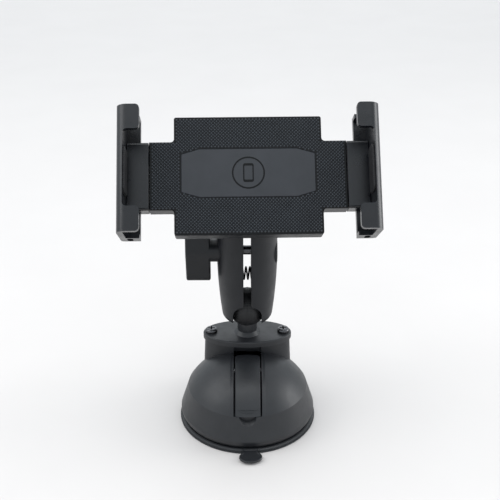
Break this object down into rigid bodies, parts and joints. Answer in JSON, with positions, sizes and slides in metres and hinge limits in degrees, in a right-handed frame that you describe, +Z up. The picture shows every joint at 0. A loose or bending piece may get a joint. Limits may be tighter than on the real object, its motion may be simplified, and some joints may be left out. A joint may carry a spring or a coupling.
{
  "type": "device mount",
  "caption": "Lever suction-cup car mount with a double ball-jointed clamp arm and a tilting spring-loaded four-claw cradle for a phone or small tablet.",
  "frame": {"origin": "centre of the suction face, on the surface that the mount sticks to", "axes": "+Z up, away from the suction face; -Y towards the front, where the lever and the pull tab are; +X to the right seen from the front"},
  "size_m": [0.1499, 0.102, 0.2208],
  "materials": {
    "cup_rubber": "satin",
    "housing_plastic": "satin",
    "lever_plastic": "satin",
    "steel": "satin",
    "spring_steel": "satin",
    "stud_plastic": "satin",
    "ball_rubber": "matte",
    "black_screw": "gloss",
    "brass": "satin",
    "arm_plastic": "satin",
    "knob_plastic": "satin",
    "cradle_plastic": "satin",
    "textured_skin": "diamond-textured",
    "badge_plastic": "satin",
    "gear_plastic": "matte",
    "rack_plastic": "matte",
    "jaw_plastic": "satin",
    "pad_rubber": "matte"
  },
  "bodies": {
    "base": {"suction_cup": "cup_rubber", "base_housing": "housing_plastic", "lever_pin": "steel", "lower_ball_stud": "stud_plastic", "plate_screws": "black_screw", "plate_inserts": "brass", "plunger_spring": "spring_steel"},
    "plunger": {"plunger": "steel"},
    "lever": {"cam_lever": "lever_plastic"},
    "lower_cover": {"lower_ball_cover": "ball_rubber"},
    "arm": {"arm_half_right": "arm_plastic", "clamp_bolt": "black_screw", "bolt_cap": "arm_plastic", "arm_spring_lower": "spring_steel", "arm_spring_upper": "spring_steel"},
    "arm_left": {"arm_half_left": "arm_plastic", "clamp_washer": "steel"},
    "knob": {"clamp_knob": "knob_plastic", "knob_nut": "brass"},
    "upper_cover": {"upper_ball_cover": "ball_rubber"},
    "cradle": {"upper_ball_stud": "stud_plastic", "ball_plate_screws": "black_screw", "rear_housing": "cradle_plastic", "front_cover": "cradle_plastic", "grip_mat": "textured_skin", "badge": "badge_plastic", "housing_screws": "black_screw", "left_closing_spring": "spring_steel", "right_closing_spring": "spring_steel"},
    "pinion": {"pinion_gear": "gear_plastic"},
    "left_claw": {"left_jaw": "jaw_plastic", "left_rack": "rack_plastic", "left_pad": "pad_rubber", "left_jaw_screws": "black_screw"},
    "right_claw": {"right_jaw": "jaw_plastic", "right_rack": "rack_plastic", "right_pad": "pad_rubber", "right_jaw_screws": "black_screw"}
  },
  "joints": [
    {"name": "lever_hinge", "type": "hinge", "parent": "base", "child": "lever", "pos_m": [0, 0, 0.0335], "axis": [-1, 0, 0], "range_deg": [0, 50]},
    {"name": "plunger_slide", "type": "slide", "parent": "base", "child": "plunger", "axis": [0, 0, -1], "range_m": [0, 0.002], "deforming": ["plunger_spring"]},
    {"name": "arm_swivel", "type": "hinge", "parent": "base", "child": "lower_cover", "pos_m": [0, 0.0148, 0.074], "axis": [0, 0, 1], "continuous": true},
    {"name": "arm_tilt", "type": "hinge", "parent": "lower_cover", "child": "arm", "pos_m": [0, 0.0148, 0.074], "axis": [1, 0, 0], "range_deg": [-80, 80]},
    {"name": "arm_spread", "type": "slide", "parent": "arm", "child": "arm_left", "axis": [-1, 0, 0], "range_m": [0, 0.002], "deforming": ["arm_spring_lower", "arm_spring_upper"]},
    {"name": "knob_turn", "type": "hinge", "parent": "arm_left", "child": "knob", "pos_m": [-0.0315, 0.0148, 0.1155], "axis": [-1, 0, 0], "range_deg": [0, 720]},
    {"name": "cradle_tilt", "type": "hinge", "parent": "arm", "child": "upper_cover", "pos_m": [0, 0.0148, 0.157], "axis": [-1, 0, 0], "range_deg": [-30, 50]},
    {"name": "cradle_spin", "type": "hinge", "parent": "upper_cover", "child": "cradle", "pos_m": [0, 0.0148, 0.157], "axis": [0.0183, -0.814, 0.5806], "continuous": true},
    {"name": "left_claw_slide", "type": "slide", "parent": "cradle", "child": "left_claw", "axis": [-0.9997, -0.0226, -0.0002], "range_m": [0, 0.034], "stiffness_N_per_m": 90, "springref_m": -0.02, "deforming": ["left_closing_spring", "right_closing_spring"]},
    {"name": "right_claw_slide", "type": "slide", "parent": "cradle", "child": "right_claw", "axis": [0.9997, 0.0226, 0.0002], "range_m": [0, 0.034]},
    {"name": "pinion_spin", "type": "hinge", "parent": "cradle", "child": "pinion", "pos_m": [0.00055, -0.00962, 0.17442], "axis": [0.0183, -0.814, 0.5806], "range_deg": [0, 280]}
  ],
  "couplings": [
    {"joint": "lever_hinge", "follows": "plunger_slide", "rad_per_m": 436.33},
    {"joint": "knob_turn", "follows": "arm_spread", "rad_per_m": 6283.2},
    {"joint": "right_claw_slide", "follows": "left_claw_slide", "ratio": 1},
    {"joint": "pinion_spin", "follows": "left_claw_slide", "rad_per_m": 142.86}
  ]
}
